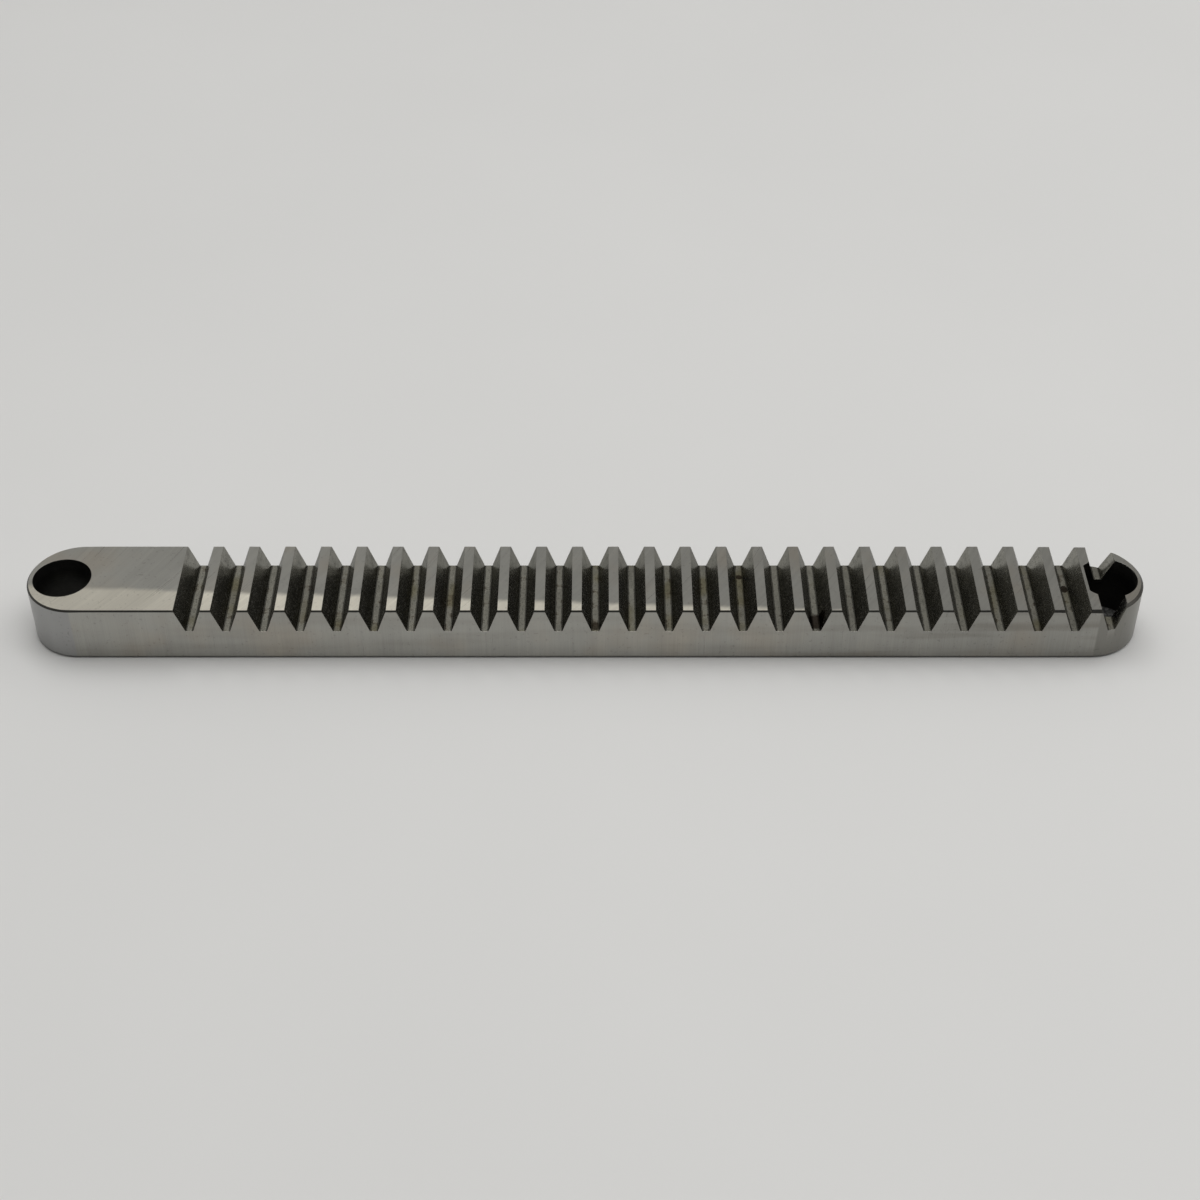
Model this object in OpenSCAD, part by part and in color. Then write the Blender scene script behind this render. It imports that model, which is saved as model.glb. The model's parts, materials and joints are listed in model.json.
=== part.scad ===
// Straight gear rack bar, in millimetres, teeth up.
// The origin is on the flat back, at the middle of the bar's length and width.
// +X runs along the bar, to the end whose hole breaks into the teeth. +Y is across the bar, +Z up.

/* [Teeth] */
// Module of the teeth, which is the pitch divided by pi
tooth_module = 2.54; // [2.3:0.01:2.54]
// Slope of each flank from the upright, in degrees
pressure_angle = 20; // [14.5:0.5:20]
// Number of spaces cut between the teeth
space_count = 26; // [2:1:26]
// Height of a tooth above the pitch line, in modules
addendum_ratio = 1; // [0.8:0.05:1]
// Depth of a space below the pitch line, in modules
dedendum_ratio = 1.25; // [1.1:0.05:1.25]
// Distance from the plain end's hole centre to the centre of the first space
first_space_offset = 28.75; // [20:0.05:29.5]

/* [Bar] */
// Width of the bar, which is also the length of each tooth
bar_width = 22.225; // [18:0.025:30]
// Height of the bar, from its flat back to the tips of the teeth
bar_height = 13.494; // [10:0.001:30]

/* [Edges] */
// Size of the edge break along the middle of the bar
side_break = 0.2; // [0.1:0.05:0.6]
// Size of the wider edge break round the ends
end_break = 0.6; // [0.1:0.05:0.6]
// Length over which the wide break narrows, past each rounded end
break_run_out = 16; // [4:1:40]

/* [Holes] */
// Diameter of the two through holes
hole_diameter = 12.7; // [6:0.1:12.7]
// Distance between the hole centres
hole_spacing = 228.6; // [226:0.1:240]
// Distance from each hole centre to the nearer end of the bar
hole_to_end = 7.5405; // [7.2005:0.001:10.9995]

/* [Hidden] */
$fn = 128;
cutter_margin = 1;
pitch = PI * tooth_module;
tooth_depth = (addendum_ratio + dedendum_ratio) * tooth_module;
space_half_width = pitch / 4;
flank_run = tan(pressure_angle);
bar_length = hole_spacing + 2 * hole_to_end;
end_radius = bar_width / 2;
end_centre_x = bar_length / 2 - end_radius;
hole_x = hole_spacing / 2;
first_space_x = first_space_offset - hole_x;

// Solid bar with full-radius ends and sharp edges
module plain_bar() {
    linear_extrude(bar_height) {
        square([2 * end_centre_x, bar_width], center = true);
        for (end = [-1, 1])
            translate([end * end_centre_x, 0])
                circle(end_radius);
    }
}

// Cutter for one straight top edge: it lies square to the 45-degree break, in a plane of x and
// distance from the corner, so its outline narrows from the wide break to the narrow one
module straight_edge_cutter() {
    wide = end_break / sqrt(2);
    narrow = side_break / sqrt(2);
    narrow_x = end_centre_x - break_run_out;
    translate([0, end_radius, bar_height])
        rotate([45, 0, 0])
            linear_extrude(2 * (wide + cutter_margin), center = true)
                polygon([
                    [-end_centre_x, cutter_margin],
                    [-end_centre_x, -wide],
                    [-narrow_x, -narrow],
                    [narrow_x, -narrow],
                    [end_centre_x, -wide],
                    [end_centre_x, cutter_margin]
                ]);
}

// Cutter for the top edge of one rounded end: half a ring of triangular section
module round_edge_cutter() {
    reach = end_break + cutter_margin;
    translate([end_centre_x, 0, bar_height])
        rotate([0, 0, -90])
            rotate_extrude(angle = 180)
                translate([end_radius, 0])
                    polygon([
                        [-reach, cutter_margin],
                        [cutter_margin, -reach],
                        [cutter_margin, cutter_margin]
                    ]);
}

// Everything that breaks the top edges, all the way round
module top_edge_cutters() {
    for (side = [0, 1])
        mirror([0, side, 0])
            straight_edge_cutter();
    for (end = [0, 1])
        mirror([end, 0, 0])
            round_edge_cutter();
}

// One tooth space, straight across the bar, with its centre plane at x = 0
module space_cutter() {
    floor_half = space_half_width - dedendum_ratio * tooth_module * flank_run;
    top_rise = addendum_ratio * tooth_module + cutter_margin;
    top_half = space_half_width + top_rise * flank_run;
    translate([0, 0, bar_height])
        rotate([90, 0, 0])
            linear_extrude(bar_width + 2 * cutter_margin, center = true)
                polygon([
                    [-floor_half, -tooth_depth],
                    [floor_half, -tooth_depth],
                    [top_half, cutter_margin],
                    [-top_half, cutter_margin]
                ]);
}

// Straight through hole on the origin
module hole_cutter() {
    translate([0, 0, -cutter_margin])
        cylinder(h = bar_height + 2 * cutter_margin, d = hole_diameter);
}

// The whole rack, one machined piece of steel
module rack() {
    color("silver")
        difference() {
            plain_bar();
            top_edge_cutters();
            translate([0, 0, bar_height])
                mirror([0, 0, 1])
                    top_edge_cutters();
            for (space = [0 : space_count - 1])
                translate([first_space_x + space * pitch, 0, 0])
                    space_cutter();
            for (end = [-1, 1])
                translate([end * hole_x, 0, 0])
                    hole_cutter();
        }
}

rack();
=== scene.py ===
import json
import math

import bmesh
import bpy
from mathutils import Matrix, Vector


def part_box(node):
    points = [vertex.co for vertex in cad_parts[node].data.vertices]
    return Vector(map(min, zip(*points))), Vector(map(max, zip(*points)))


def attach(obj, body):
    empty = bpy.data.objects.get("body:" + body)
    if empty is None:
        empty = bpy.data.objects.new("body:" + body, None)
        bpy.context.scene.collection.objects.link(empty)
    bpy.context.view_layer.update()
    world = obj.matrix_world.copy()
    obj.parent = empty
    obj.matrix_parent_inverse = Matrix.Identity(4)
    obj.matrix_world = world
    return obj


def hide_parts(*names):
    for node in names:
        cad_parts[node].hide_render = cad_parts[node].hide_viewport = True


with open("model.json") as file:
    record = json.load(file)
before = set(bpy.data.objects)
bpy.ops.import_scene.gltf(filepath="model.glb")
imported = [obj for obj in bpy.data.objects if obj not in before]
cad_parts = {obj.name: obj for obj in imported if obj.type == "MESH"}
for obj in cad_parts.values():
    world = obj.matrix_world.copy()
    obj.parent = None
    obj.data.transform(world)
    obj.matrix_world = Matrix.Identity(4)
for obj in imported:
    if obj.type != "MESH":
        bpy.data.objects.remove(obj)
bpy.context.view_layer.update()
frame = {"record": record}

MM = 0.001

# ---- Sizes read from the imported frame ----
low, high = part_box("rack")
LENGTH, WIDTH, HEIGHT = high - low
MOUNTS = {mount["name"]: mount for mount in frame["record"]["mounts"]}
PLAIN_HOLE = Vector(MOUNTS["plain_end_bore"]["pos_m"])
TOOTHED_HOLE = Vector(MOUNTS["toothed_end_bore"]["pos_m"])
HOLE_RADIUS = MOUNTS["plain_end_bore"]["dims"]["r_mm"] * MM
# The middle of the tooth row, on the pitch plane, one module below the tips
ROW_MIDDLE = Vector(MOUNTS["tooth_row"]["pos_m"])

# ---- Tooth form, as in the CAD: standard full-depth rack teeth ----
SPACES = 26
MODULE = HEIGHT - ROW_MIDDLE.z
PITCH = math.pi * MODULE
TOOTH_DEPTH = 2.25 * MODULE
FLANK_SLOPE = math.tan(math.radians(20))
FLOOR_Z = HEIGHT - TOOTH_DEPTH
FIRST_SPACE_X = ROW_MIDDLE.x - (SPACES - 1) / 2 * PITCH
LAST_SPACE_X = FIRST_SPACE_X + (SPACES - 1) * PITCH
# Half the width of a tooth space at the tips and at its floor
TOP_HALF = PITCH / 4 + FLANK_SLOPE * MODULE
FLOOR_HALF = TOP_HALF - FLANK_SLOPE * TOOTH_DEPTH

# ---- Rounded ends and edge breaks ----
END_RADIUS = WIDTH / 2
END_CENTRE_X = LENGTH / 2 - END_RADIUS
SIDE_BREAK = 0.32 * MM
LOWER_BREAK = 0.42 * MM
# Each rounded end's own break, and the length over which it narrows to the side's break;
# the toothed end is 1 and the plain end -1
END_BREAK = {1: 0.6 * MM, -1: 0.38 * MM}
RUN_OUT = {1: 16 * MM, -1: 3 * MM}
# Wall left where the toothed end's hole would break through the side of the last tooth
WEB_THICKNESS = 0.65 * MM

# ---- Mesh ----
WORN_EDGE_WIDTH = 0.05 * MM
WORN_EDGE_STEPS = 2
# Only edges sharper than this are worn, so the 45-degree edge breaks aren't
WORN_EDGE_ANGLE = math.radians(55)
# Edges that turn by more than this are drawn sharp
CREASE_ANGLE = math.radians(30)
ARC_STEPS = 96
HOLE_STEPS = 160
# How far a cutter reaches beyond what it cuts
OVERCUT = 1 * MM
WELD_DISTANCE = 0.001 * MM
# Order of the rack's materials
GROUND, TOOTH, BORE = range(3)
LINE_MAP = "lines"

# ---- Camera, fitted to the photo in units of the tooth pitch ----
CAMERA_ELEVATION = math.radians(40.73)
CAMERA_DISTANCE = 57.29 * PITCH
AIM_LEFT = 1.3727 * PITCH
AIM_DOWN = 0.6049 * PITCH
LENS_MM = 62.78
SENSOR_MM = 36
CLIP_START = 0.01
CLIP_END = 50

# ---- Lights: name, place, width, depth, radiance in scene units ----
SOFTBOXES = (
    ("overhead_softbox", (0.10, 0.10, 1.30), 1.8, 0.9, 1.68),
    ("right_softbox", (1.25, 0.30, 0.85), 1.5, 1.1, 0.8),
)
ROOM_COLOUR = (1.0, 0.99, 0.96)
ROOM_IN_FRONT = 0.24
ROOM_BEHIND = 0.40
# What the room keeps of its light overhead
ROOM_OVERHEAD = 0.4
TABLE_HALF_SIZE = 2.0

# ---- Stains in the tooth spaces: space counted from 0, y, reach along x and y, strength ----
STAINS = (
    (11, -9.3 * MM, 0.9 * MM, 1.6 * MM, 0.8),
    (15, 7.0 * MM, 0.7 * MM, 0.8 * MM, 0.9),
    (17, -8.0 * MM, 2.2 * MM, 2.4 * MM, 0.9),
    (24, 2.9 * MM, 0.7 * MM, 1.1 * MM, 0.9),
)

# ---- Grinding lines, and the strip of painted reflection ----
# The lines on the top are shallow curves with this radius at their crowns, which lie behind the bar
LINE_RADIUS = 60 * MM
LINE_CROWN_Y = 36 * MM
# Border of the strip of painted reflection (a bright reflection painted into the top's colour), before noise
# roughens it: its y at the middle of the bar, half its blur, and how fast it nears the front along x
REFLECTION_STRIP_Y = -7.5 * MM
REFLECTION_STRIP_BLUR = 0.9 * MM
REFLECTION_STRIP_SLOPE = 0.046

# ---- Colours, linear ----
GROUND_GREY = (0.385, 0.38, 0.352)
GROUND_WARM = (0.375, 0.352, 0.31)
SMEAR_BROWN = (0.245, 0.23, 0.203)
# Colour of the strip of painted reflection on the top
REFLECTION_STRIP_BRIGHT = (0.64, 0.61, 0.53)
PLAIN_END_GREY = (0.335, 0.335, 0.33)
TOOTHED_END_GREY = (0.288, 0.282, 0.258)
FLANK_GREY = (0.34, 0.335, 0.31)
TOOTH_FLOOR_GREY = (0.33, 0.322, 0.28)
OIL_BROWN = (0.22, 0.20, 0.12)
RUST_BROWN = (0.10, 0.08, 0.055)
STAIN_BLACK = (0.03, 0.02, 0.015)
BORE_BLACK = (0.05, 0.049, 0.045)
TOOTH_SPECULAR_TINT = (0.42, 0.42, 0.4)
TABLE_PALE = (0.75, 0.747, 0.735)
# Tint of the painted shade on the table inside the toothed end's hole
HOLE_SHADE_TINT = (1, 1, 0.95)


# ---- Node helpers ----
class Nodes:
    """Short calls that add nodes to one tree and return their output sockets."""

    # Sockets of the mix node in its colour mode
    MIX_FACTOR, MIX_FIRST, MIX_SECOND, MIX_RESULT = 0, 6, 7, 2

    def __init__(self, tree):
        self.tree = tree

    def add(self, kind, **settings):
        node = self.tree.nodes.new(kind)
        for key, value in settings.items():
            setattr(node, key, value)
        return node

    def feed(self, socket, value):
        """Links the socket to value if that is a socket, and else sets it to value."""
        if isinstance(value, bpy.types.NodeSocket):
            self.tree.links.new(value, socket)
        elif isinstance(value, tuple) and len(value) == 3 and socket.type == "RGBA":
            socket.default_value = (*value, 1)
        else:
            socket.default_value = value

    def math(self, operation, *values):
        node = self.add("ShaderNodeMath", operation=operation)
        for socket, value in zip(node.inputs, values):
            self.feed(socket, value)
        return node.outputs["Value"]

    def total(self, *values):
        result = values[0]
        for value in values[1:]:
            result = self.math("ADD", result, value)
        return result

    def product(self, *values):
        result = values[0]
        for value in values[1:]:
            result = self.math("MULTIPLY", result, value)
        return result

    def length(self, x, y):
        return self.math("SQRT", self.total(self.product(x, x), self.product(y, y)))

    def step(self, value, start, end):
        """Rises smoothly from 0 at start to 1 at end; end may be the lower of the two."""
        node = self.add("ShaderNodeMapRange", interpolation_type="SMOOTHSTEP")
        forwards = end > start
        self.feed(node.inputs["Value"], value)
        node.inputs["From Min"].default_value = start if forwards else end
        node.inputs["From Max"].default_value = end if forwards else start
        node.inputs["To Min"].default_value = 0 if forwards else 1
        node.inputs["To Max"].default_value = 1 if forwards else 0
        return node.outputs["Result"]

    def between(self, factor, start, end):
        """start where factor is 0, end where it is 1."""
        return self.math("MULTIPLY_ADD", factor, end - start, start)

    def split(self, vector):
        node = self.add("ShaderNodeSeparateXYZ")
        self.feed(node.inputs["Vector"], vector)
        return tuple(node.outputs)

    def join(self, x, y, z):
        node = self.add("ShaderNodeCombineXYZ")
        for socket, value in zip(node.inputs, (x, y, z)):
            self.feed(socket, value)
        return node.outputs["Vector"]

    def noise(self, vector, scale=1.0, detail=2.0, roughness=0.5):
        node = self.add("ShaderNodeTexNoise")
        self.feed(node.inputs["Vector"], vector)
        node.inputs["Scale"].default_value = scale
        node.inputs["Detail"].default_value = detail
        node.inputs["Roughness"].default_value = roughness
        return node.outputs[0]

    def blend(self, factor, first, second):
        """The colour first where factor is 0, second where it is 1."""
        node = self.add("ShaderNodeMix", data_type="RGBA")
        self.feed(node.inputs[self.MIX_FACTOR], factor)
        self.feed(node.inputs[self.MIX_FIRST], first)
        self.feed(node.inputs[self.MIX_SECOND], second)
        return node.outputs[self.MIX_RESULT]

    def scale(self, colour, factor):
        node = self.add("ShaderNodeVectorMath", operation="SCALE")
        self.feed(node.inputs[0], colour)
        self.feed(node.inputs["Scale"], factor)
        return node.outputs["Vector"]

    def bump(self, height, strength, distance):
        node = self.add("ShaderNodeBump")
        node.inputs["Strength"].default_value = strength
        node.inputs["Distance"].default_value = distance
        self.feed(node.inputs["Height"], height)
        return node.outputs["Normal"]


# ---- Camera and lights ----
def add_camera():
    forward = Vector((0, math.cos(CAMERA_ELEVATION), -math.sin(CAMERA_ELEVATION)))
    right = Vector((1, 0, 0))
    up = right.cross(forward)
    aim = Vector((ROW_MIDDLE.x, 0, HEIGHT)) - AIM_LEFT * right - AIM_DOWN * up
    data = bpy.data.cameras.new("camera")
    data.sensor_width = SENSOR_MM
    data.lens = LENS_MM
    data.clip_start = CLIP_START
    data.clip_end = CLIP_END
    camera = bpy.data.objects.new("camera", data)
    bpy.context.scene.collection.objects.link(camera)
    camera.rotation_mode = "QUATERNION"
    camera.location = aim - forward * CAMERA_DISTANCE
    basis = Matrix((right, up, -forward)).transposed()
    camera.rotation_quaternion = basis.to_quaternion()
    bpy.context.scene.camera = camera


def add_softbox(name, place, width, depth, radiance):
    """Rectangular light that faces the frame's origin."""
    data = bpy.data.lights.new(name, "AREA")
    data.shape = "RECTANGLE"
    data.size = width
    data.size_y = depth
    data.energy = 4 * width * depth * radiance
    lamp = bpy.data.objects.new(name, data)
    lamp.location = place
    lamp.rotation_mode = "QUATERNION"
    lamp.rotation_quaternion = (-Vector(place)).to_track_quat("-Z", "Y")
    bpy.context.scene.collection.objects.link(lamp)


def add_world():
    """Room light: dim overhead and in front, brighter behind the object and on its left."""
    world = bpy.data.worlds.new("studio")
    world.use_nodes = True
    bpy.context.scene.world = world
    nodes = Nodes(world.node_tree)
    background = world.node_tree.nodes["Background"]
    x, y, z = nodes.split(nodes.add("ShaderNodeTexCoord").outputs["Generated"])
    behind = nodes.step(y, -0.35, 0.35)
    leftward = nodes.math("MULTIPLY_ADD", x, -0.6, 1)
    overhead = nodes.between(nodes.step(z, 0.75, 0.97), 1, ROOM_OVERHEAD)
    strength = nodes.product(nodes.between(behind, ROOM_IN_FRONT, ROOM_BEHIND), leftward, overhead)
    nodes.feed(background.inputs["Color"], ROOM_COLOUR)
    nodes.feed(background.inputs["Strength"], strength)


# ---- Mesh ----
def outline():
    """Points of the bar's plan outline, anticlockwise: (place, outward direction, size of break)."""
    points = []
    for side in (1, -1):
        centre = Vector((side * END_CENTRE_X, 0, 0))
        for step in range(ARC_STEPS + 1):
            angle = math.pi * (step / ARC_STEPS - 0.5)
            out = Vector((side * math.cos(angle), side * math.sin(angle), 0))
            points.append((centre + END_RADIUS * out, out, END_BREAK[side]))
        out = Vector((0, side, 0))
        for x in (side * (END_CENTRE_X - RUN_OUT[side]), -side * (END_CENTRE_X - RUN_OUT[-side])):
            points.append((Vector((x, side * END_RADIUS, 0)), out, SIDE_BREAK))
    return points


def mesh_object(name, bm):
    bmesh.ops.recalc_face_normals(bm, faces=bm.faces)
    mesh = bpy.data.meshes.new(name)
    bm.to_mesh(mesh)
    bm.free()
    made = bpy.data.objects.new(name, mesh)
    bpy.context.scene.collection.objects.link(made)
    return made


def plain_bar():
    """The bar with its broken edges, before the tooth spaces and holes are cut."""
    bm = bmesh.new()
    points = outline()
    # From the bottom face's rim to the top's: height, direction of the break, and 1 where it is inset
    levels = ((0, 0, 1), (0, 1, 0), (HEIGHT, -1, 0), (HEIGHT, 0, 1))
    rings = []
    for base, rise, inset in levels:
        ring = []
        for place, out, size in points:
            leg = size if base else max(size, LOWER_BREAK)
            flat = place - out * leg * inset
            ring.append(bm.verts.new((flat.x, flat.y, base + rise * leg)))
        rings.append(ring)
    count = len(points)
    for lower, upper in zip(rings, rings[1:]):
        for i in range(count):
            j = (i + 1) % count
            bm.faces.new((lower[i], lower[j], upper[j], upper[i]))
    bm.faces.new(list(reversed(rings[0])))
    bm.faces.new(rings[-1])
    return mesh_object("bar", bm)


def prism(bm, profile, centre_x, half_length):
    """Closed prism along Y, from a profile of (x, z) points."""
    front = [bm.verts.new((centre_x + x, -half_length, z)) for x, z in profile]
    back = [bm.verts.new((centre_x + x, half_length, z)) for x, z in profile]
    bm.faces.new(front)
    bm.faces.new(list(reversed(back)))
    for i in range(len(profile)):
        j = (i + 1) % len(profile)
        bm.faces.new((front[j], front[i], back[i], back[j]))


def space_cutters():
    """One prism for each tooth space."""
    bm = bmesh.new()
    top_z = HEIGHT + OVERCUT
    top_half = TOP_HALF + FLANK_SLOPE * OVERCUT
    profile = ((-FLOOR_HALF, FLOOR_Z), (FLOOR_HALF, FLOOR_Z), (top_half, top_z), (-top_half, top_z))
    for space in range(SPACES):
        prism(bm, profile, FIRST_SPACE_X + space * PITCH, WIDTH / 2 + OVERCUT)
    return mesh_object("spaces", bm)


def round_cutter(name, centre):
    bm = bmesh.new()
    bmesh.ops.create_cone(
        bm, cap_ends=True, segments=HOLE_STEPS, radius1=HOLE_RADIUS, radius2=HOLE_RADIUS,
        depth=HEIGHT + 2 * OVERCUT, matrix=Matrix.Translation((centre.x, centre.y, HEIGHT / 2)))
    return mesh_object(name, bm)


def toothed_hole_cutter():
    """The round cutter, stopped short of the last tooth's far flank so that a thin web stays."""
    cutter = round_cutter("toothed_hole", TOOTHED_HOLE)
    bm = bmesh.new()
    # The web's inner face runs alongside the flank, from the floor of the space to above the cutter
    inner_top_x = LAST_SPACE_X - PITCH + TOP_HALF + WEB_THICKNESS
    below = FLOOR_Z
    above = HEIGHT + 2 * OVERCUT
    far_x = inner_top_x - 2 * PITCH
    profile = (
        (inner_top_x - FLANK_SLOPE * (HEIGHT - below), below),
        (inner_top_x + FLANK_SLOPE * (above - HEIGHT), above),
        (far_x, above),
        (far_x, below))
    prism(bm, profile, 0, WIDTH)
    kept_side = mesh_object("kept_side", bm)
    cut(cutter, kept_side)
    settle(cutter)
    bpy.data.objects.remove(kept_side)
    return cutter


def cut(body, cutter):
    modifier = body.modifiers.new("cut", "BOOLEAN")
    modifier.operation = "DIFFERENCE"
    modifier.solver = "EXACT"
    modifier.object = cutter


def settle(body):
    """Replaces the object's mesh with what its modifiers make of it."""
    bpy.context.view_layer.update()
    graph = bpy.context.evaluated_depsgraph_get()
    mesh = bpy.data.meshes.new_from_object(body.evaluated_get(graph), depsgraph=graph)
    body.modifiers.clear()
    body.data = mesh


def wear_edges(body):
    """Rounds the sharp outward edges slightly."""
    bm = bmesh.new()
    bm.from_mesh(body.data)
    bmesh.ops.remove_doubles(bm, verts=bm.verts, dist=WELD_DISTANCE)
    bmesh.ops.dissolve_degenerate(bm, edges=bm.edges, dist=WELD_DISTANCE)
    weight = bm.edges.layers.float.new("bevel_weight_edge")
    for edge in bm.edges:
        if len(edge.link_faces) == 2 and edge.calc_face_angle_signed(0) > WORN_EDGE_ANGLE:
            edge[weight] = 1
    bm.to_mesh(body.data)
    bm.free()
    bevel = body.modifiers.new("worn_edges", "BEVEL")
    bevel.limit_method = "WEIGHT"
    bevel.width = WORN_EDGE_WIDTH
    bevel.segments = WORN_EDGE_STEPS
    settle(body)


def surface_kind(face):
    """Which material the face gets: BORE, TOOTH or GROUND."""
    centre = face.calc_center_median()
    upright = abs(face.normal.z) < 0.1
    for hole in (PLAIN_HOLE, TOOTHED_HOLE):
        if upright and (centre.xy - hole.xy).length < HOLE_RADIUS * 1.01:
            return BORE
    on_flank = abs(face.normal.x) > 0.5 and 0.1 < face.normal.z < 0.5
    on_floor = face.normal.z > 0.9 and centre.z < HEIGHT - MODULE
    if on_flank or on_floor:
        return TOOTH
    return GROUND


def mark_faces(body):
    """Gives each face its material, and smooth shading to the rounded ends and the bores."""
    bm = bmesh.new()
    bm.from_mesh(body.data)
    bm.normal_update()
    for face in bm.faces:
        face.material_index = surface_kind(face)
        centre = face.calc_center_median()
        on_end = abs(centre.x) > END_CENTRE_X and abs(face.normal.z) < 0.9
        face.smooth = on_end or face.material_index == BORE
    for edge in bm.edges:
        edge.smooth = len(edge.link_faces) == 2 and edge.calc_face_angle(0) < CREASE_ANGLE
    bm.to_mesh(body.data)
    bm.free()


def add_line_map(body):
    """UV map whose u runs across the grinding lines; the metals' gloss is spread by it."""
    layer = body.data.uv_layers.new(name=LINE_MAP)
    for loop in body.data.loops:
        place = body.data.vertices[loop.vertex_index].co
        beyond = abs(place.x) - END_CENTRE_X
        u = place.x
        if beyond > 0 and math.hypot(beyond, place.y) > END_RADIUS - max(END_BREAK.values()):
            u = math.atan2(beyond, place.y) * END_RADIUS
        layer.data[loop.index].uv = (u / LENGTH, (place.y + place.z) / LENGTH)


def build_rack():
    body = plain_bar()
    cutters = [space_cutters(), round_cutter("plain_hole", PLAIN_HOLE), toothed_hole_cutter()]
    for cutter in cutters:
        cut(body, cutter)
    settle(body)
    for cutter in cutters:
        bpy.data.objects.remove(cutter)
    wear_edges(body)
    mark_faces(body)
    add_line_map(body)
    body.name = "rack_bar"
    return body


# ---- Materials ----
class Metal(Nodes):
    """A metal material, with the quantities that its patterns are made from.

    Scales of noise are per metre; tones are factors on the base colour.
    """

    def __init__(self, name, anisotropic=0.0):
        self.material = bpy.data.materials.new(name)
        self.material.use_nodes = True
        super().__init__(self.material.node_tree)
        self.surface = self.tree.nodes["Principled BSDF"]
        self.surface.inputs["Metallic"].default_value = 1
        self.surface.inputs["Anisotropic"].default_value = anisotropic
        if anisotropic:
            tangent = self.add("ShaderNodeTangent", direction_type="UV_MAP", uv_map=LINE_MAP)
            self.feed(self.surface.inputs["Tangent"], tangent.outputs["Tangent"])
        self.place = self.add("ShaderNodeTexCoord").outputs["Object"]
        self.x, self.y, self.z = self.split(self.place)
        _, _, self.facing_up = self.split(self.add("ShaderNodeNewGeometry").outputs["Normal"])
        # 0 where a face is upright, 1 where it lies flat, up or down
        self.slope = self.math("ABSOLUTE", self.facing_up)

    def lines(self, across_scale, along_scale, seed=0.0):
        """Noise drawn out into grinding lines: arcs on the top and back, upright on the sides."""
        run = self.math("ADD", self.y, self.z)
        from_crown = self.math("SUBTRACT", self.y, LINE_CROWN_Y)
        squared = self.product(from_crown, from_crown)
        bent = self.math("MULTIPLY_ADD", squared, 0.5 / LINE_RADIUS, self.x)
        return self.noise(self.join(self.product(bent, across_scale), self.product(run, along_scale), seed))

    def stretched(self, x_scale, y_scale, z_scale):
        """Noise with a scale of its own along each axis."""
        scales = zip((self.x, self.y, self.z), (x_scale, y_scale, z_scale))
        return self.noise(self.join(*(self.product(axis, scale) for axis, scale in scales)))

    def finish(self, colour, roughness, normal):
        self.feed(self.surface.inputs["Base Color"], colour)
        self.feed(self.surface.inputs["Roughness"], roughness)
        self.feed(self.surface.inputs["Normal"], normal)
        return self.material


def painted_reflection_strip(steel, broad):
    """1 on the strip of painted reflection along the front of the top, slightly slanting: a bright reflection
    painted into the colour.
    """
    top = steel.step(steel.facing_up, 0.8, 0.95)
    border = steel.math("MULTIPLY_ADD", steel.x, REFLECTION_STRIP_SLOPE, steel.y)
    border = steel.math("MULTIPLY_ADD", broad, 1.6 * MM, border)
    return steel.product(top, steel.step(border, REFLECTION_STRIP_Y + REFLECTION_STRIP_BLUR, REFLECTION_STRIP_Y - REFLECTION_STRIP_BLUR))


def ground_tone(steel, streaks, clouds, upright):
    """How light the ground faces are, around 1."""
    specks = steel.step(steel.noise(steel.place, 1500, 1), 0.66, 0.74)
    tone = steel.total(streaks, steel.between(clouds, -0.12, 0.12), 1.0)
    tone = steel.product(tone, steel.between(specks, 1, 0.84))
    # The sides darken towards the toothed end; along their bottom edge they get painted shade, standing in
    # for the contact shadow
    dim_end = steel.product(upright, steel.step(steel.x, 20 * MM, 105 * MM))
    painted_foot_shade = steel.product(upright, steel.step(steel.z, LOWER_BREAK + 0.3 * MM, LOWER_BREAK))
    tone = steel.product(tone, steel.between(dim_end, 1, 0.83), steel.between(painted_foot_shade, 1, 0.4))
    # Edge breaks are darker than the faces beside them, most of all underneath: painted shade, standing in
    # for the dark they reflect and, underneath, for the contact shadow
    breaks = steel.product(steel.step(steel.slope, 0.4, 0.6), steel.step(steel.slope, 0.9, 0.78))
    break_shade_tone = steel.between(steel.step(steel.facing_up, 0, -0.3), 0.19, 0.08)
    return steel.product(tone, steel.math("MULTIPLY_ADD", breaks, steel.math("SUBTRACT", break_shade_tone, 1), 1))


def ground_colour(steel, strip, clouds, upright, rounded):
    colour = steel.blend(steel.step(clouds, 0.48, 0.72), GROUND_GREY, GROUND_WARM)
    # Faint brown smears lie along the sides, mostly near the toothed end
    smeared = steel.step(steel.stretched(26, 26, 300), 0.45, 0.75)
    near_toothed_end = steel.between(steel.step(steel.x, 0, 90 * MM), 0.3, 0.75)
    colour = steel.blend(steel.product(smeared, near_toothed_end, upright), colour, SMEAR_BROWN)
    # The painted reflection is brighter along the teeth than on the plain block
    reflection_strip_tone = steel.between(steel.step(steel.x, -98 * MM, -70 * MM), 1, 1.45)
    colour = steel.blend(strip, colour, steel.scale(REFLECTION_STRIP_BRIGHT, reflection_strip_tone))
    end_colour = steel.blend(steel.step(steel.x, -MM, MM), PLAIN_END_GREY, TOOTHED_END_GREY)
    return steel.blend(rounded, colour, end_colour)


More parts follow.
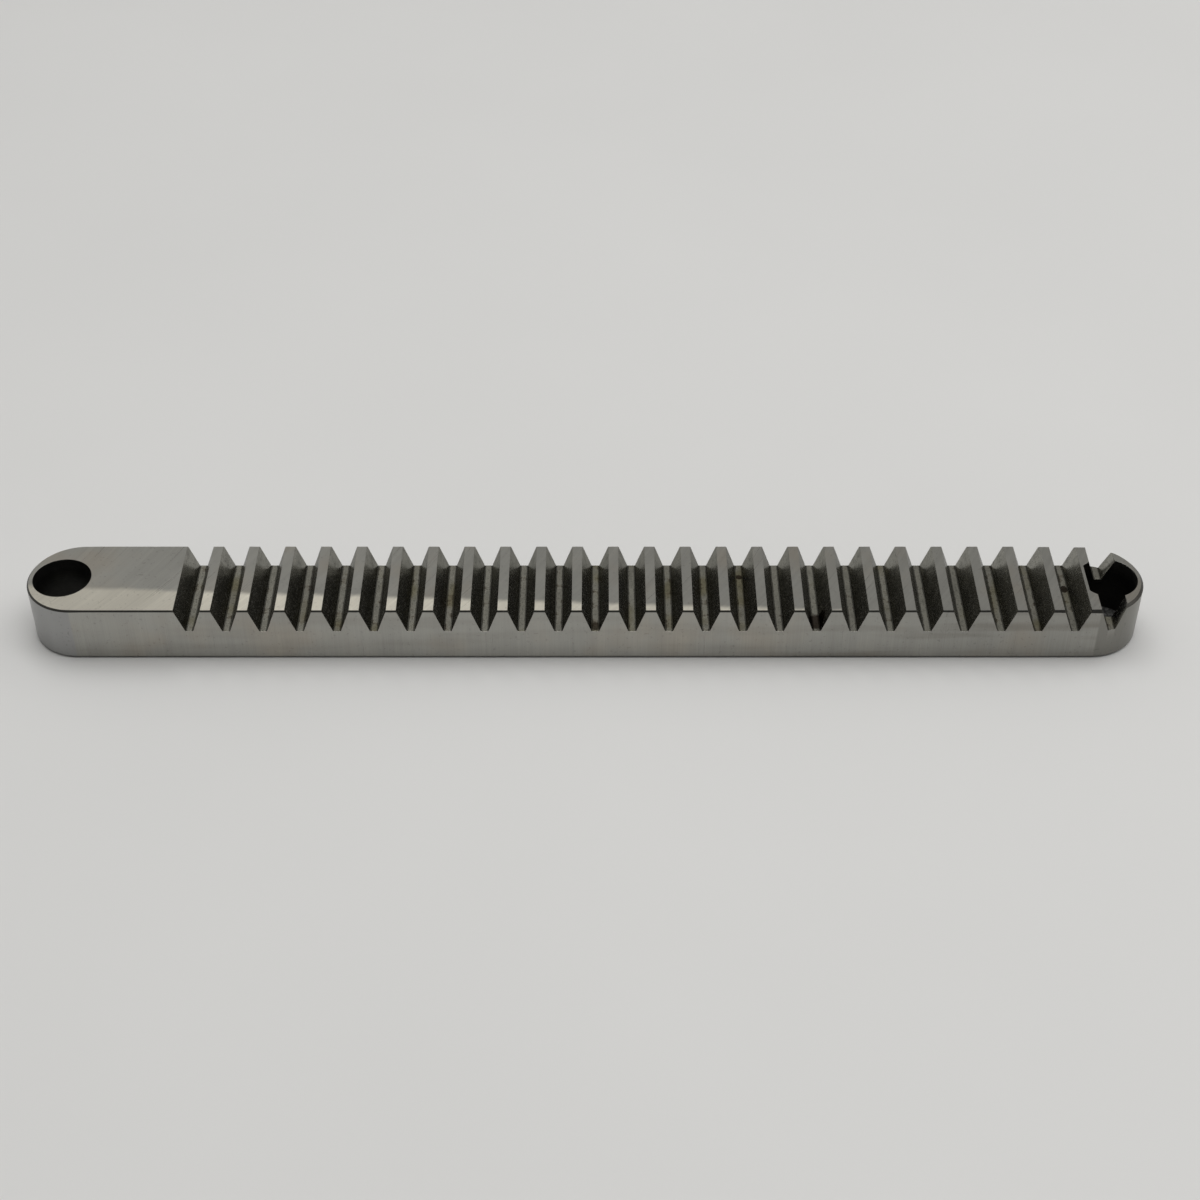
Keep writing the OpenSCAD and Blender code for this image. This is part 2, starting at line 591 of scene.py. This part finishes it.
def ground_steel():
    steel = Metal("ground_steel", anisotropic=0.5)
    fine = steel.lines(5200, 60)
    medium = steel.lines(1500, 28, seed=3)
    broad = steel.lines(190, 40, seed=6)
    clouds = steel.noise(steel.place, 70, 3)
    upright = steel.step(steel.slope, 0.3, 0.1)
    beyond = steel.math("SUBTRACT", steel.math("ABSOLUTE", steel.x), END_CENTRE_X)
    rounded = steel.product(upright, steel.step(beyond, 0, 0.4 * MM))
    # The rounded ends are smoother than the flat sides
    grain = steel.between(rounded, 1, 0.35)
    streaks = steel.total(
        steel.between(fine, -0.12, 0.12),
        steel.between(medium, -0.08, 0.08),
        steel.between(broad, -0.10, 0.10))
    tone = ground_tone(steel, steel.product(streaks, grain), clouds, upright)
    colour = ground_colour(steel, painted_reflection_strip(steel, broad), clouds, upright, rounded)
    roughness = steel.total(steel.between(medium, 0.24, 0.38), steel.between(fine, -0.05, 0.05))
    height = steel.product(steel.total(fine, medium), grain)
    return steel.finish(steel.scale(colour, tone), roughness, steel.bump(height, 0.35, 0.02 * MM))


def floor_corner_shade(steel, floor, stain):
    """1 along the corners of the tooth spaces' floors, with a ragged rim: painted shade where the flanks meet
    the floor.
    """
    from_first = steel.math("SUBTRACT", steel.x, FIRST_SPACE_X - PITCH / 2)
    from_middle = steel.math("SUBTRACT", steel.math("FLOORED_MODULO", from_first, PITCH), PITCH / 2)
    ragged = steel.math("MULTIPLY_ADD", stain, 0.9 * MM, steel.math("ABSOLUTE", from_middle))
    return steel.product(floor, steel.step(ragged, FLOOR_HALF + 0.05 * MM, FLOOR_HALF + 0.25 * MM))


def black_stains(steel, colour, stain):
    """The colour with the listed stains laid over it, each an oval with a ragged rim."""
    for space, y, x_radius, y_radius, strength in STAINS:
        x_offset = steel.product(steel.math("SUBTRACT", steel.x, FIRST_SPACE_X + space * PITCH), 1 / x_radius)
        y_offset = steel.product(steel.math("SUBTRACT", steel.y, y), 1 / y_radius)
        reach = steel.math("MULTIPLY_ADD", stain, 1.6, steel.length(x_offset, y_offset))
        spot = steel.product(steel.step(reach, 1.95, 1.6), strength)
        colour = steel.blend(spot, colour, STAIN_BLACK)
    return colour


def tooth_steel():
    steel = Metal("cut_tooth_steel", anisotropic=0.3)
    steel.feed(steel.surface.inputs["Specular Tint"], TOOTH_SPECULAR_TINT)
    along = steel.stretched(90, 60, 3200)
    stain = steel.noise(steel.place, 420, 5, 0.7)
    pits = steel.step(steel.noise(steel.place, 2300, 2), 0.56, 0.68)
    patches = steel.noise(steel.place, 95, 2)
    floor = steel.step(steel.facing_up, 0.7, 0.9)
    tone = steel.total(steel.between(along, -0.25, 0.25), steel.between(stain, -0.75, 0.75), 1.0)
    # Pits and rust show less on the flanks than on the floors
    pit_depth = steel.product(pits, steel.between(floor, 0.22, 0.5))
    # Painted shade darkens the floors' corners beside the flanks
    corners = floor_corner_shade(steel, floor, stain)
    tone = steel.product(tone, steel.between(corners, 1, 0.3), steel.between(pit_depth, 1, 0))
    colour = steel.blend(floor, FLANK_GREY, TOOTH_FLOOR_GREY)
    oily = steel.product(floor, steel.step(patches, 0.50, 0.68), 0.75)
    colour = steel.blend(oily, colour, OIL_BROWN)
    rust = steel.product(steel.step(stain, 0.53, 0.66), steel.between(floor, 0.2, 0.65))
    colour = steel.blend(rust, colour, RUST_BROWN)
    colour = black_stains(steel, colour, stain)
    roughness = steel.total(steel.between(along, 0.16, 0.28), steel.product(pits, 0.2))
    return steel.finish(steel.scale(colour, tone), roughness, steel.bump(along, 0.3, 0.03 * MM))


def bore_steel():
    steel = Metal("bored_steel")
    rings = steel.stretched(40, 40, 3600)
    grime = steel.noise(steel.place, 900, 3)
    tone = steel.total(steel.between(rings, 0.6, 1.2), steel.between(grime, -0.2, 0.2))
    roughness = steel.between(rings, 0.35, 0.55)
    return steel.finish(steel.scale(BORE_BLACK, tone), roughness, steel.bump(rings, 0.4, 0.03 * MM))


def table_top():
    material = bpy.data.materials.new("pale_table")
    material.use_nodes = True
    table = Nodes(material.node_tree)
    shader = material.node_tree.nodes["Principled BSDF"]
    place = table.add("ShaderNodeTexCoord").outputs["Object"]
    mottle = table.noise(place, 9, 3)
    pale = table.scale(TABLE_PALE, table.between(mottle, 0.97, 1.03))
    # Painted shade, mottled, darkens the table inside the toothed end's hole
    x, y, _ = table.split(place)
    reach = table.length(table.math("SUBTRACT", x, TOOTHED_HOLE.x), table.math("SUBTRACT", y, TOOTHED_HOLE.y))
    hole_shade = table.step(reach, HOLE_RADIUS + 0.4 * MM, HOLE_RADIUS + 0.1 * MM)
    shade_mottle = table.step(table.noise(place, 1300, 2), 0.35, 0.6)
    black = table.scale(HOLE_SHADE_TINT, table.between(shade_mottle, 0.17, 0.04))
    table.feed(shader.inputs["Base Color"], table.blend(hole_shade, pale, black))
    shader.inputs["Roughness"].default_value = 0.6
    return material


def add_table():
    bm = bmesh.new()
    bmesh.ops.create_grid(bm, x_segments=1, y_segments=1, size=TABLE_HALF_SIZE)
    table = mesh_object("floor", bm)
    table.data.materials.append(table_top())


# ---- Assembly ----
add_camera()
add_world()
for settings in SOFTBOXES:
    add_softbox(*settings)
add_table()
rack = build_rack()
# In the order of GROUND, TOOTH and BORE
for make in (ground_steel, tooth_steel, bore_steel):
    rack.data.materials.append(make())
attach(rack, "root")
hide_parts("rack")
bpy.context.scene.view_settings.view_transform = "Standard"
